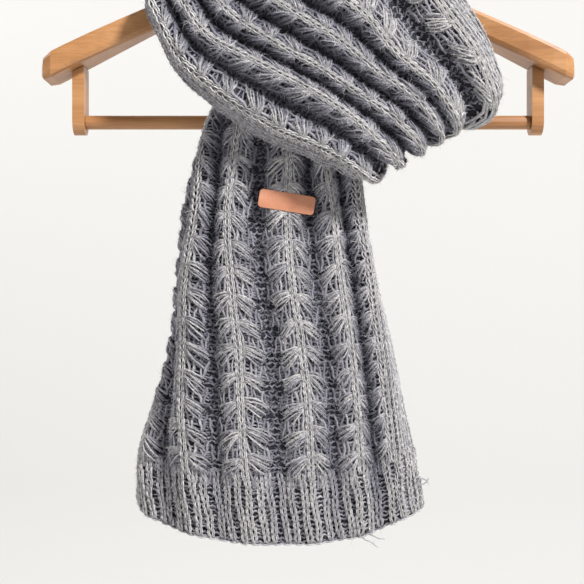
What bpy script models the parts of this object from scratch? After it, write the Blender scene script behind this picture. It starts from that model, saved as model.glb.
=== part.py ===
"""A rib-knit scarf wound once round the neck of a wooden coat hanger.

The scarf is one strip, 210 mm wide laid flat and at rest, with six broad ribs along
it.  It is followed from the hem that hangs in front: up over the right arm of the
hanger, behind the hook, over the left arm, down across the front, under itself at
the right, up over the right arm again and down the back.  A row of STATIONS gives
the strip's place and how far it is spread or gathered; every wall is lofted through
sections worked out from those rows.
Lengths in the tables are millimetres; x is to the wearer's left, z is up and the
front faces -y.  The origin is the inside top of the hook, where it hangs on a rail.
"""

import math
from collections import namedtuple

import bmesh
import bpy
import numpy as np

MM = 0.001

# ---------------------------------------------------------------- the scarf
RIBS = 6
WALL = 3.0  # cloth in the valleys between the ribs
JOINT_GAP = 0.3  # between two stretches of the same strip
FAN_PITCH = 22.4  # one repeat of the knitted fans along a rib
SCALLOP = 0.10  # how much a rib narrows and widens over one repeat
VISIBLE_STEP = FAN_PITCH / 2  # between sections where the ribs show
HIDDEN_STEP = 15.0
PLAIN_POINTS = 13  # points across the plain side of the wall
RIB_STEPS = (0.0, 0.18, 0.38, 0.62, 0.82)  # points across one rib
DROOP_REACH = 1.3  # ribs in from the edge that droop with it
CHAIN_PLACES = np.array([0, 0.5, 1.5, 2.5, 3.5, 4.5, 5.5, 6])
RIBBED_AT = np.array([rib + step for rib in range(RIBS) for step in RIB_STEPS] + [RIBS])
PLAIN_AT = np.linspace(0, RIBS, PLAIN_POINTS)

# centre: the strip's middle, between ribs 3 and 4, on its inside face
# across: the direction from the edge of rib 1 to the edge of rib 6
# gaps: inner edge to crest 1, crest to crest five times, crest 6 to outer edge;
#       a single number is the gap between crests, with half of it at each edge
# arc, curl_in, curl_out: degrees that the section, and its two flanks, turn back
# relief: height of the ribs; sag: how far the edges lag behind the middle
# droop: how far the edge of rib 1 hangs below its place
Station = namedtuple("Station", "centre across gaps arc curl_in curl_out relief sag droop")


def station(centre, across, gaps, arc=0, curl_in=0, curl_out=0, relief=9, sag=0, droop=0):
    if not isinstance(gaps, tuple):
        gaps = (gaps / 2,) + (gaps,) * (RIBS - 1) + (gaps / 2,)
    return Station(centre, across, gaps, arc, curl_in, curl_out, relief, sag, droop)


RIGHT_ARM_SLOPE = (0.91, 0, -0.41)
LEFT_ARM_SLOPE = (-0.91, 0, -0.41)
RETURN_SLOPE = (-0.91, 0, 0.41)

TAIL_FRONT = [
    station((-22, -32, -573), (1, 0, 0), (20, 49, 46, 50, 42, 30, 26), 24, 50, 20, 4, 26),
    station((-25, -32, -520), (1, 0, 0), (20, 50, 46, 53, 41, 25, 26), 24, 68, 30, 8, 20),
    station((-27, -32, -480), (1, 0, 0), (20, 45, 46, 54, 40, 22, 24), 24, 98, 40, 9, 16),
    station((-32, -31, -410), (1, 0, 0), (20, 38, 41, 51, 40, 20, 20), 24, 145, 50, 9, 14),
    station((-39, -30, -355), (1, 0, 0), (20, 34, 33, 49, 40, 20, 16), 24, 170, 60, 9, 12),
    station((-42, -30, -300), (1, 0, 0), (18, 26, 21, 48, 37, 16, 15), 24, 175, 60, 10, 10),
    station((-39, -31, -258), (1, 0, 0), (12, 16, 21, 44, 30, 17, 12), 16, 165, 50, 11, 8),
    station((-35, -31, -222), (1, 0, 0), (6, 8, 22, 38, 25, 17, 11), 8, 150, 40, 10, 6),
    station((-18, -27, -186), (0.97, 0, -0.24), (7, 12, 20, 24, 20, 18, 9), 12, 80, 20, 11, 4),
    station((18, -22, -138), (0.94, 0, -0.34), 17, 12, 10, 10, 11),
]
OVER_RIGHT_ARM = [
    station((43, -20, -108), (0.92, 0, -0.39), 16, 6, 0, 0, 11),
    station((55, -13, -90), RIGHT_ARM_SLOPE, 16, 0, 0, 0, 11),
    station((60, 0, -82.5), RIGHT_ARM_SLOPE, 16, 0, 0, 0, 11),
    station((57, 13.5, -87), (0.90, 0.10, -0.42), 16, 6, 0, 0, 11),
]
NECK_BACK = [
    station((46, 24, -97), (0.74, 0.25, -0.62), 16, 10, 0, 0, 11),
    station((22, 33, -100), (0.35, 0.22, -0.91), 17, 16, 5, 5, 11),
    station((-5, 36, -100), (0.0, 0.18, -0.98), 17, 18, 5, 5, 11),
    station((-34, 32, -99), (-0.38, 0.22, -0.90), 17, 16, 5, 5, 11),
    station((-58, 22, -98), (-0.74, 0.20, -0.64), 17, 10, 0, 0, 11),
]
OVER_LEFT_ARM = [
    station((-71, 11, -95), (-0.89, 0.08, -0.45), 18, 4, 0, 0, 11),
    station((-75, 0, -90.5), LEFT_ARM_SLOPE, 18.5, 0, 0, 0, 11),
    station((-77, -12, -92), (-0.90, -0.06, -0.43), 19, 6, 0, 0, 11),
]
FRONT_WRAP = [
    station((-80, -28, -96), (-0.86, -0.18, -0.48), (10, 20, 20, 20, 20, 22, 12), 16, 5, 10, 11),
    station((-74, -48, -106), (-0.75, -0.12, -0.65), (12, 32, 24, 24, 23, 22, 13), 24, 10, 20, 11),
    station((-54, -62, -134), (-0.71, -0.05, -0.70), (20, 48, 28, 28, 24, 24, 14), 24, 5, 30, 11),
    station((-21, -68, -157), (-0.69, 0, -0.73), (30, 58, 28, 28, 20, 32, 16), 20, 0, 30, 11),
    station((14, -69, -178), (-0.62, 0, -0.78), (30, 57, 28, 26, 18, 36, 16), 16, 0, 30, 11),
    station((48, -69, -203), (-0.69, 0, -0.73), (24, 50, 20, 22, 17, 31, 15), 16, 0, 30, 11),
    station((80, -67, -225), (-0.82, 0, -0.57), (18, 38, 16, 22, 21, 27, 14), 16, 0, 20, 11, 0, 2),
]
FOLD = [
    station((92, -57, -237), (-0.85, 0.05, -0.53), (14, 33, 14, 18, 20, 24, 12), 0, 0, 10, 11, 0, 8),
    station((87, -47, -238), (-0.86, 0.0, -0.50), (12, 27, 11, 13, 14, 16, 9), 0, 0, 0, 9, 0, 14),
    station((73, -46.5, -222), (-0.83, 0, -0.56), (9, 20, 12, 12, 12, 14, 7), 0, 0, 0, 8, 0, 16),
]
RETURN = [
    station((62, -47, -186), (-0.90, 0, -0.40), (7, 15, 12, 12, 12, 12, 6), 0, 0, 0, 8, 0, 6),
    station((58, -46.5, -140), (-0.98, 0, 0.10), 12.5, 0, 0, 0, 8),
    station((60, -42, -100), (-0.94, 0, 0.33), 13.5, 0, 0, 0, 9),
    station((62, -28, -74), RETURN_SLOPE, 14.5, 0, 0, 0, 10),
    station((62, 0, -62), RETURN_SLOPE, 15, 0, 0, 0, 10),
    station((62, 31, -68), (-0.91, -0.10, 0.40), 15, 0, 0, 0, 10),
    station((55, 54, -92), (-0.93, -0.12, 0.34), 15, 0, 0, 0, 10),
]
TAIL_BACK = [
    station((36, 62, -134), (-0.96, -0.08, 0.26), 15.5, 0, 0, 0, 10),
    station((10, 62, -182), (-0.98, 0, 0.18), 17, 0, 0, 0, 10),
    station((-12, 58, -236), (-0.99, 0, 0.10), 18, 8, 0, 0, 10),
    station((-24, 55, -300), (-1, 0, 0), 20, 12, 0, 0, 9),
    station((-27, 54, -380), (-1, 0, 0), 23, 16, 0, 0, 9),
    station((-27, 54, -452), (-1, 0, 0), 26, 18, 0, 0, 8, 6),
    station((-27, 54, -505), (-1, 0, 0), 28, 18, 0, 0, 4, 10),
]

# name, its rows, the side that carries the ribs, and the distance between sections
Stretch = namedtuple("Stretch", "name rows face step")
STRETCHES = [
    Stretch("tail_front", TAIL_FRONT, 1, VISIBLE_STEP),
    Stretch("over_right_arm", OVER_RIGHT_ARM, 1, HIDDEN_STEP / 2),
    Stretch("neck_back", NECK_BACK, 1, HIDDEN_STEP),
    Stretch("over_left_arm", OVER_LEFT_ARM, 1, HIDDEN_STEP / 2),
    Stretch("front_wrap", FRONT_WRAP, 1, VISIBLE_STEP),
    Stretch("wrap_fold", FOLD, 1, VISIBLE_STEP / 2),
    Stretch("return_over_arm", RETURN, -1, HIDDEN_STEP),
    Stretch("tail_back", TAIL_BACK, -1, 2 * HIDDEN_STEP / 1.5),
]

# ---------------------------------------------------------------- the label
LABEL_SIZE = (47.0, 16.0, 1.4)
LABEL_CORNER = 3.0
LABEL_CENTRE = (-18.0, -291.5)  # x and z
LABEL_TILT = 9.0  # degrees, its right end lower
LABEL_SEAT = 0.3

# ---------------------------------------------------------------- the hanger
HANGER_HALF = 226.0
HANGER_TOP = -62.0
ARM_SLOPE = 0.42
ARM_BEND = 0.0002  # the arms steepen outwards by this much a millimetre
ARM_HEIGHT = 22.0
HUB_HEIGHT = 32.0
HUB_HALF = 34.0
ARM_DEPTH = 18.0
END_DEPTH = 42.0
WIDENING = (95.0, 215.0)  # where the arms grow from one depth to the other
ARM_ROUND = 4.0
ARM_PLACES = (0, 14, 26, 40, 60, 85, 110, 135, 160, 185, 205, 216, 223, HANGER_HALF)

BAR_HEIGHT = -219.0
BAR_RADIUS = 6.0
BAR_SETBACK = 6.0  # the bar lies this far behind the middle of the arms
BRACKET_PLACE = 196.0
BRACKET_WIDTH = 10.0
BRACKET_DEPTH = 22.0

HOOK_WIRE = 3.6
HOOK_INSIDE = 18.0  # radius of the loop
HOOK_TIP_TURN = 190.0
HOOK_JOIN_TURN = -55.0
HOOK_SHANK_TOP = -50.0
HOOK_SEAT = 0.3


# ---------------------------------------------------------------- helpers
def unit(v):
    return v / np.maximum(np.linalg.norm(v, axis=-1, keepdims=True), 1e-9)


def through(places, values, wanted):
    """A smooth curve through values at their places, read at the wanted places."""
    spans = np.diff(places)[:, None]
    slopes = np.diff(values, axis=0) / spans
    tangents = np.empty_like(values)
    tangents[1:-1] = (slopes[:-1] * spans[1:] + slopes[1:] * spans[:-1]) / (spans[:-1] + spans[1:])
    tangents[0], tangents[-1] = slopes[0], slopes[-1]
    k = np.clip(np.searchsorted(places, wanted, side="right") - 1, 0, len(places) - 2)
    span = spans[k]
    u = ((wanted - places[k]) / spans[k, 0])[:, None]
    return (
        (1 + 2 * u) * (1 - u) ** 2 * values[k]
        + u * (1 - u) ** 2 * span * tangents[k]
        + u * u * (3 - 2 * u) * values[k + 1]
        + u * u * (u - 1) * span * tangents[k + 1]
    )


def clear_scene():
    for thing in list(bpy.data.objects):
        bpy.data.objects.remove(thing, do_unlink=True)


def material(name, colour, roughness, metallic=0.0):
    made = bpy.data.materials.new(name)
    made.use_nodes = True
    shader = made.node_tree.nodes["Principled BSDF"]
    shader.inputs["Base Color"].default_value = (*colour, 1)
    shader.inputs["Roughness"].default_value = roughness
    shader.inputs["Metallic"].default_value = metallic
    return made


def add_mesh(name, points, faces, look):
    """One object from points in millimetres and faces, with its faces turned out."""
    mesh = bpy.data.meshes.new(name)
    mesh.from_pydata([tuple(np.asarray(p) * MM) for p in points], [], faces)
    work = bmesh.new()
    work.from_mesh(mesh)
    bmesh.ops.recalc_face_normals(work, faces=work.faces)
    work.to_mesh(mesh)
    work.free()
    mesh.shade_smooth()
    mesh.set_sharp_from_angle(angle=math.radians(40))
    made = bpy.data.objects.new(name, mesh)
    made.data.materials.append(look)
    collection.objects.link(made)
    return made


def rings_to_faces(rings, count):
    """Quads between closed rings of points, and a face on each end ring."""
    faces = []
    for r in range(rings - 1):
        for k in range(count):
            nxt = (k + 1) % count
            faces.append((r * count + k, r * count + nxt, (r + 1) * count + nxt, (r + 1) * count + k))
    faces.append(tuple(range(count)))
    faces.append(tuple((rings - 1) * count + k for k in range(count)))
    return faces


# ---------------------------------------------------------------- the strip
class Strip:
    """The whole scarf as a smooth family of sections along one route."""

    def __init__(self, stations):
        rows = np.array(
            [(*s.centre, *s.across, *s.gaps, *s[3:]) for s in stations],
            float,
        )
        rows[:, 3:6] = unit(rows[:, 3:6])
        centres = rows[:, :3]
        legs = np.linalg.norm(np.diff(centres, axis=0), axis=1)
        self.knots = np.concatenate([[0], np.cumsum(legs)])
        self.route = np.arange(0, self.knots[-1] + 0.5, 1.0)
        self.rows = through(self.knots, rows, self.route)
        self.heading = unit(np.gradient(self.rows[:, :3], axis=0))

    def at(self, place):
        row = [np.interp(place, self.route, column) for column in self.rows.T]
        heading = unit(np.array([np.interp(place, self.route, column) for column in self.heading.T]))
        return np.array(row), heading

    def section(self, place, where):
        """Points on the inside face and the directions out of it, at fractions of ribs."""
        row, heading = self.at(place)
        centre, across, gaps = row[:3], unit(row[3:6]), row[6:13]
        arc, curl_in, curl_out = np.radians(row[13:16])
        relief, sag, droop = row[16:19]
        out = unit(np.cross(across, heading))
        fine = np.linspace(0, RIBS, 40 * RIBS + 1)
        marks = np.concatenate([[0], np.cumsum(gaps)])
        width = np.interp(fine, CHAIN_PLACES, marks)
        inner_flank, outer_flank = marks[3], gaps[6] + gaps[5] / 2
        turn = arc * (0.5 - width / marks[-1])
        turn += curl_in * np.clip(1 - width / inner_flank, 0, 1) ** 1.5
        turn -= curl_out * np.clip((width - marks[-1] + outer_flank) / outer_flank, 0, 1)
        middle = (turn[1:] + turn[:-1]) / 2
        step = np.diff(width)
        side = np.concatenate([[0], np.cumsum(np.cos(middle) * step)])
        rise = np.concatenate([[0], np.cumsum(np.sin(middle) * step)])
        half = len(fine) // 2
        side -= side[half]
        rise -= rise[half]
        x = np.interp(where, fine, side)
        n = np.interp(where, fine, rise)
        angle = np.interp(where, fine, turn)
        lag = sag * ((where - RIBS / 2) / (RIBS / 2)) ** 2
        points = centre + np.outer(x, across) + np.outer(n, out) + np.outer(lag, heading)
        points[:, 2] -= droop * np.clip(1 - where / DROOP_REACH, 0, 1) ** 1.5
        normals = np.outer(np.cos(angle), out) - np.outer(np.sin(angle), across)
        return points, normals, relief


def rib_height(where):
    return 0.5 - 0.5 * np.cos(2 * math.pi * where)


def stitch(first, first_at, second, second_at):
    """Triangles between two rows of points that run side by side."""
    faces, i, j = [], 0, 0
    while i < len(first) - 1 or j < len(second) - 1:
        advance_first = j == len(second) - 1 or (i < len(first) - 1 and first_at[i + 1] <= second_at[j + 1])
        if advance_first:
            faces.append((first[i], first[i + 1], second[j]))
            i += 1
        else:
            faces.append((first[i], second[j + 1], second[j]))
            j += 1
    return faces


def stretch_rows(strip, stretch, start, end):
    """Rows of points across the ribbed side and the plain side, one pair for each section."""
    count = max(3, round((end - start) / stretch.step)) + 1
    ribbed_rows, plain_rows = [], []
    for k, place in enumerate(np.linspace(start, end, count)):
        inside, out, relief = strip.section(place, RIBBED_AT)
        height = relief * (1 - SCALLOP * (k % 2)) * rib_height(RIBBED_AT)[:, None]
        ribbed_rows.append(inside + out * (WALL + height) if stretch.face > 0 else inside - out * height)
        inside, out, relief = strip.section(place, PLAIN_AT)
        plain_rows.append(inside if stretch.face > 0 else inside + out * WALL)
    return np.array(ribbed_rows), np.array(plain_rows)


def build_stretch(name, ribbed_rows, plain_rows, look):
    count = len(ribbed_rows)
    sides = []
    points = np.concatenate([ribbed_rows.reshape(-1, 3), plain_rows.reshape(-1, 3)])
    first = 0
    for rows in (ribbed_rows, plain_rows):
        across = rows.shape[1]
        sides.append([list(range(first + k * across, first + (k + 1) * across)) for k in range(count)])
        first += count * across
    faces = []
    for side in sides:
        for a, b in zip(side, side[1:]):
            faces += [(a[k], a[k + 1], b[k + 1], b[k]) for k in range(len(a) - 1)]
    ribbed, plain = sides
    for edge in (0, -1):
        for k in range(count - 1):
            faces.append((ribbed[k][edge], ribbed[k + 1][edge], plain[k + 1][edge], plain[k][edge]))
    for end in (0, -1):
        faces += stitch(ribbed[end], RIBBED_AT, plain[end], PLAIN_AT)
    return add_mesh(name, points, faces, look)


def build_scarf(look):
    """Every stretch of the strip; the ribbed rows of the hanging front are handed back."""
    strip = Strip([row for stretch in STRETCHES for row in stretch.rows])
    front_rows = None
    first_row = 0
    for stretch in STRETCHES:
        last_row = first_row + len(stretch.rows)
        start = strip.knots[first_row]
        end = strip.knots[min(last_row, len(strip.knots) - 1)]
        if last_row < len(strip.knots):
            end -= JOINT_GAP
        ribbed_rows, plain_rows = stretch_rows(strip, stretch, start, end)
        build_stretch(stretch.name, ribbed_rows, plain_rows, look)
        if stretch.rows is TAIL_FRONT:
            front_rows = ribbed_rows
        first_row = last_row
    return front_rows


# ---------------------------------------------------------------- the label
def build_label(front_rows, look):
    """A rounded leather tag that lies across the crest of the fourth rib."""
    width, height, thick = LABEL_SIZE
    outline = []
    corners = ((1, 1, 0), (-1, 1, 90), (-1, -1, 180), (1, -1, 270))
    for sx, sz, first in corners:
        for k in range(5):
            turn = math.radians(first + 22.5 * k)
            outline.append(
                (
                    sx * (width / 2 - LABEL_CORNER) + LABEL_CORNER * math.cos(turn),
                    sz * (height / 2 - LABEL_CORNER) + LABEL_CORNER * math.sin(turn),
                )
            )
    tilt = math.radians(-LABEL_TILT)
    x0, z0 = LABEL_CENTRE
    placed = [
        (x0 + x * math.cos(tilt) - z * math.sin(tilt), z0 + x * math.sin(tilt) + z * math.cos(tilt))
        for x, z in outline
    ]
    crest = label_seat(front_rows)
    back = crest - LABEL_SEAT
    rings = [[(x, back, z) for x, z in placed], [(x, back - thick, z) for x, z in placed]]
    points = [p for ring in rings for p in ring]
    return add_mesh("label", points, rings_to_faces(2, len(outline)), look)


def refine(rows, steps):
    """Rows with straight steps put between them."""
    return np.concatenate([rows[:-1] * (1 - k / steps) + rows[1:] * (k / steps) for k in range(steps)])


def label_seat(front_rows):
    """The foremost point of the ribs that the label covers."""
    width, height, _ = LABEL_SIZE
    tilt = math.radians(-LABEL_TILT)
    surface = refine(refine(front_rows, 6).transpose(1, 0, 2), 6).reshape(-1, 3)
    dx, dz = surface[:, 0] - LABEL_CENTRE[0], surface[:, 2] - LABEL_CENTRE[1]
    along = dx * math.cos(tilt) + dz * math.sin(tilt)
    over = dz * math.cos(tilt) - dx * math.sin(tilt)
    covered = (abs(along) < width / 2) & (abs(over) < height / 2)
    return surface[covered, 1].min()


# ---------------------------------------------------------------- the hanger
def arm_top(x):
    return HANGER_TOP - ARM_SLOPE * abs(x) - ARM_BEND * x * x


def smooth(u):
    u = min(max(u, 0.0), 1.0)
    return u * u * (3 - 2 * u)


def arm_height(x):
    return HUB_HEIGHT + (ARM_HEIGHT - HUB_HEIGHT) * smooth(abs(x) / HUB_HALF)


def arm_depth(x):
    return ARM_DEPTH + (END_DEPTH - ARM_DEPTH) * smooth((abs(x) - WIDENING[0]) / (WIDENING[1] - WIDENING[0]))


def rounded_box_ring(x, top, bottom, half_depth, radius):
    """A ring of twelve points in a plane of constant x."""
    ring = []
    corners = ((1, top, 0), (-1, top, 90), (-1, bottom, 180), (1, bottom, 270))
    for side, level, first in corners:
        inward = -1 if level == top else 1
        for k in range(3):
            turn = math.radians(first + 45 * k)
            y = side * (half_depth - radius) + radius * math.cos(turn)
            z = level + inward * radius + radius * math.sin(turn)
            ring.append((x, y, z))
    return ring


def build_hanger_arms(look):
    places = sorted({s * x for x in ARM_PLACES for s in (-1, 1)})
    points = []
    for x in places:
        from_end = HANGER_HALF - abs(x)
        shrink = math.sqrt(max(0.0, 1 - (1 - min(from_end / 10, 1)) ** 2)) * 0.6 + 0.4
        height, depth = arm_height(x) * shrink, arm_depth(x) * shrink
        middle = arm_top(x) - arm_height(x) / 2
        top, bottom = middle + height / 2, middle - height / 2
        points += rounded_box_ring(x, top, bottom, depth / 2, ARM_ROUND * shrink)
    return add_mesh("hanger_arms", points, rings_to_faces(len(places), 12), look)


def build_bar(look):
    reach = BRACKET_PLACE - BRACKET_WIDTH / 2 - JOINT_GAP
    bpy.ops.mesh.primitive_cylinder_add(
        vertices=20,
        radius=BAR_RADIUS * MM,
        depth=2 * reach * MM,
        location=(0, BAR_SETBACK * MM, BAR_HEIGHT * MM),
        rotation=(0, math.pi / 2, 0),
    )
    bar = bpy.context.object
    bar.name = "trouser_bar"
    adopt(bar, look)


def adopt(thing, look):
    for home in list(thing.users_collection):
        home.objects.unlink(thing)
    collection.objects.link(thing)
    thing.data.materials.append(look)
    thing.data.shade_smooth()
    thing.data.set_sharp_from_angle(angle=math.radians(40))


def build_bracket(side, look):
    """The wooden drop under one arm that holds the end of the trouser bar."""
    rings = []
    for k, share in enumerate((-0.5, 0.5)):
        x = side * BRACKET_PLACE + share * BRACKET_WIDTH
        top = min(arm_top(x + dx) - arm_height(x + dx) for dx in (-1, 1)) - JOINT_GAP
        foot_radius = BRACKET_DEPTH / 2
        ring = [(x, BAR_SETBACK - foot_radius, top), (x, BAR_SETBACK + foot_radius, top)]
        for turn in range(0, 181, 20):
            a = math.radians(turn)
            ring.append((x, BAR_SETBACK + foot_radius * math.cos(a), BAR_HEIGHT - foot_radius * math.sin(a)))
        rings.append(ring)
    points = [p for ring in rings for p in ring]
    name = "bar_bracket_right" if side > 0 else "bar_bracket_left"
    return add_mesh(name, points, rings_to_faces(2, len(rings[0])), look)


def hook_route():
    radius = HOOK_INSIDE + HOOK_WIRE / 2
    middle = -HOOK_INSIDE
    join = math.radians(HOOK_JOIN_TURN)
    start = np.array([0, HOOK_SHANK_TOP])
    finish = np.array([radius * math.cos(join), middle + radius * math.sin(join)])
    leave, arrive = np.array([0, 1.0]), np.array([-math.sin(join), math.cos(join)])
    pull = np.linalg.norm(finish - start)
    route = [(0, HANGER_TOP + HOOK_SEAT)]
    for u in np.linspace(0, 1, 7)[:-1]:
        point = (
            (1 + 2 * u) * (1 - u) ** 2 * start
            + u * (1 - u) ** 2 * pull * leave
            + u * u * (3 - 2 * u) * finish
            + u * u * (u - 1) * pull * arrive
        )
        route.append(tuple(point))
    for turn in np.radians(np.linspace(HOOK_JOIN_TURN, HOOK_TIP_TURN, 26)):
        route.append((radius * math.cos(turn), middle + radius * math.sin(turn)))
    return route


def build_hook(look):
    curve = bpy.data.curves.new("hook", "CURVE")
    curve.dimensions = "3D"
    curve.bevel_depth = HOOK_WIRE / 2 * MM
    curve.bevel_resolution = 2
    curve.use_fill_caps = True
    route = hook_route()
    spline = curve.splines.new("POLY")
    spline.points.add(len(route) - 1)
    for point, (x, z) in zip(spline.points, route):
        point.co = (x * MM, 0, z * MM, 1)
    hook = bpy.data.objects.new("hook", curve)
    curve.materials.append(look)
    collection.objects.link(hook)


# ---------------------------------------------------------------- the object
clear_scene()
collection = bpy.data.collections.new("scarf_on_hanger")
bpy.context.scene.collection.children.link(collection)

wool = material("wool_knit", (0.20, 0.21, 0.25), 0.95)
leather = material("label_leather", (0.62, 0.27, 0.13), 0.55)
wood = material("hanger_wood", (0.55, 0.27, 0.10), 0.45)
steel = material("hook_steel", (0.62, 0.62, 0.64), 0.25, 1.0)

front_rows = build_scarf(wool)
build_label(front_rows, leather)
build_hanger_arms(wood)
build_bar(wood)
for hand in (-1, 1):
    build_bracket(hand, wood)
build_hook(steel)
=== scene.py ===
"""The looks of a chunky rib-knit scarf that hangs wound round a wooden coat hanger.

The scarf is one knitted strip.  A row of stations gives its place, width and gathering
along the way, as in the part's own source, and a Cloth turns them into one surface.
Everything knitted is laid on that surface: a thin wall that follows the ribs, chains
of stitches on the crests, fans of loose strands beside them, purl bumps in the
valleys, a hem of narrow ribs and a halo of fine hairs.
The tables and the yarn sizes are in millimetres; Blender's own units are metres.
"""

import math
from collections import namedtuple

import bmesh
import bpy
import numpy as np
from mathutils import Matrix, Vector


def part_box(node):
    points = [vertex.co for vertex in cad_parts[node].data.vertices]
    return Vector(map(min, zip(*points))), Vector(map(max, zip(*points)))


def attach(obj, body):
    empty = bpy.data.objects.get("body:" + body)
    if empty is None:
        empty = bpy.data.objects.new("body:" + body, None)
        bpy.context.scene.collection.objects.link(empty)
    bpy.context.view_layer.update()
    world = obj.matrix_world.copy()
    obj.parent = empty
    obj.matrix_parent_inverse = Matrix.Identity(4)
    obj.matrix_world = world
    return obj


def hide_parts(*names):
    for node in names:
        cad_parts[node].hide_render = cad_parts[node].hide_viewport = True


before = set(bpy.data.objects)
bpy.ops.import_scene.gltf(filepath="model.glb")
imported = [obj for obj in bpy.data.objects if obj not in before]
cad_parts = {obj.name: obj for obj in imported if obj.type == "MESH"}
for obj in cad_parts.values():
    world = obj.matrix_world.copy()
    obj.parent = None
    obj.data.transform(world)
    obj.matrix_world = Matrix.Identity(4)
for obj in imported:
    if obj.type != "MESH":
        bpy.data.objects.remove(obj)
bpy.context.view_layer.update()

MM = 0.001
dice = np.random.default_rng(20)

# ---------------------------------------------------------------- the scarf's form
RIBS = 6
WALL = 3.0
FAN_PITCH = 22.4
HEM_HEIGHT = 55.0
CHAIN_PLACES = np.array([0, 0.5, 1.5, 2.5, 3.5, 4.5, 5.5, 6])  # the edges and crests, in ribs
DROOP_REACH = 1.3  # in ribs, from the edge of rib 1

# centre: the strip's middle, between ribs 3 and 4, on its inside face
# across: the direction from the edge of rib 1 to the edge of rib 6
# gaps: inner edge to crest 1, crest to crest five times, crest 6 to outer edge;
#       a single number is the gap between crests, with half of it at each edge
# arc, curl_in, curl_out: degrees that the section, and its two flanks, turn back
# relief: height of the ribs; sag: how far the edges lag behind the middle
# droop: how far the edge of rib 1 hangs below its place
Station = namedtuple("Station", "centre across gaps arc curl_in curl_out relief sag droop")


def station(centre, across, gaps, arc=0, curl_in=0, curl_out=0, relief=9, sag=0, droop=0):
    if not isinstance(gaps, tuple):
        gaps = (gaps / 2,) + (gaps,) * (RIBS - 1) + (gaps / 2,)
    return Station(centre, across, gaps, arc, curl_in, curl_out, relief, sag, droop)


RIGHT_ARM_SLOPE = (0.91, 0, -0.41)
LEFT_ARM_SLOPE = (-0.91, 0, -0.41)
RETURN_SLOPE = (-0.91, 0, 0.41)

TAIL_FRONT = [
    station((-22, -32, -573), (1, 0, 0), (20, 49, 46, 50, 42, 30, 26), 24, 50, 20, 4, 26),
    station((-25, -32, -520), (1, 0, 0), (20, 50, 46, 53, 41, 25, 26), 24, 68, 30, 8, 20),
    station((-27, -32, -480), (1, 0, 0), (20, 45, 46, 54, 40, 22, 24), 24, 98, 40, 9, 16),
    station((-32, -31, -410), (1, 0, 0), (20, 38, 41, 51, 40, 20, 20), 24, 145, 50, 9, 14),
    station((-39, -30, -355), (1, 0, 0), (20, 34, 33, 49, 40, 20, 16), 24, 170, 60, 9, 12),
    station((-42, -30, -300), (1, 0, 0), (18, 26, 21, 48, 37, 16, 15), 24, 175, 60, 10, 10),
    station((-39, -31, -258), (1, 0, 0), (12, 16, 21, 44, 30, 17, 12), 16, 165, 50, 11, 8),
    station((-35, -31, -222), (1, 0, 0), (6, 8, 22, 38, 25, 17, 11), 8, 150, 40, 10, 6),
    station((-18, -27, -186), (0.97, 0, -0.24), (7, 12, 20, 24, 20, 18, 9), 12, 80, 20, 11, 4),
    station((18, -22, -138), (0.94, 0, -0.34), 17, 12, 10, 10, 11),
]
OVER_RIGHT_ARM = [
    station((43, -20, -108), (0.92, 0, -0.39), 16, 6, 0, 0, 11),
    station((55, -13, -90), RIGHT_ARM_SLOPE, 16, 0, 0, 0, 11),
    station((60, 0, -82.5), RIGHT_ARM_SLOPE, 16, 0, 0, 0, 11),
    station((57, 13.5, -87), (0.90, 0.10, -0.42), 16, 6, 0, 0, 11),
]
NECK_BACK = [
    station((46, 24, -97), (0.74, 0.25, -0.62), 16, 10, 0, 0, 11),
    station((22, 33, -100), (0.35, 0.22, -0.91), 17, 16, 5, 5, 11),
    station((-5, 36, -100), (0.0, 0.18, -0.98), 17, 18, 5, 5, 11),
    station((-34, 32, -99), (-0.38, 0.22, -0.90), 17, 16, 5, 5, 11),
    station((-58, 22, -98), (-0.74, 0.20, -0.64), 17, 10, 0, 0, 11),
]
OVER_LEFT_ARM = [
    station((-71, 11, -95), (-0.89, 0.08, -0.45), 18, 4, 0, 0, 11),
    station((-75, 0, -90.5), LEFT_ARM_SLOPE, 18.5, 0, 0, 0, 11),
    station((-77, -12, -92), (-0.90, -0.06, -0.43), 19, 6, 0, 0, 11),
]
FRONT_WRAP = [
    station((-80, -28, -96), (-0.86, -0.18, -0.48), (10, 20, 20, 20, 20, 22, 12), 16, 5, 10, 11),
    station((-74, -48, -106), (-0.75, -0.12, -0.65), (12, 32, 24, 24, 23, 22, 13), 24, 10, 20, 11),
    station((-54, -62, -134), (-0.71, -0.05, -0.70), (20, 48, 28, 28, 24, 24, 14), 24, 5, 30, 11),
    station((-21, -68, -157), (-0.69, 0, -0.73), (30, 58, 28, 28, 20, 32, 16), 20, 0, 30, 11),
    station((14, -69, -178), (-0.62, 0, -0.78), (30, 57, 28, 26, 18, 36, 16), 16, 0, 30, 11),
    station((48, -69, -203), (-0.69, 0, -0.73), (24, 50, 20, 22, 17, 31, 15), 16, 0, 30, 11),
    station((80, -67, -225), (-0.82, 0, -0.57), (18, 38, 16, 22, 21, 27, 14), 16, 0, 20, 11, 0, 2),
]
FOLD = [
    station((92, -57, -237), (-0.85, 0.05, -0.53), (14, 33, 14, 18, 20, 24, 12), 0, 0, 10, 11, 0, 8),
    station((87, -47, -238), (-0.86, 0.0, -0.50), (12, 27, 11, 13, 14, 16, 9), 0, 0, 0, 9, 0, 14),
    station((73, -46.5, -222), (-0.83, 0, -0.56), (9, 20, 12, 12, 12, 14, 7), 0, 0, 0, 8, 0, 16),
]
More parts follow.
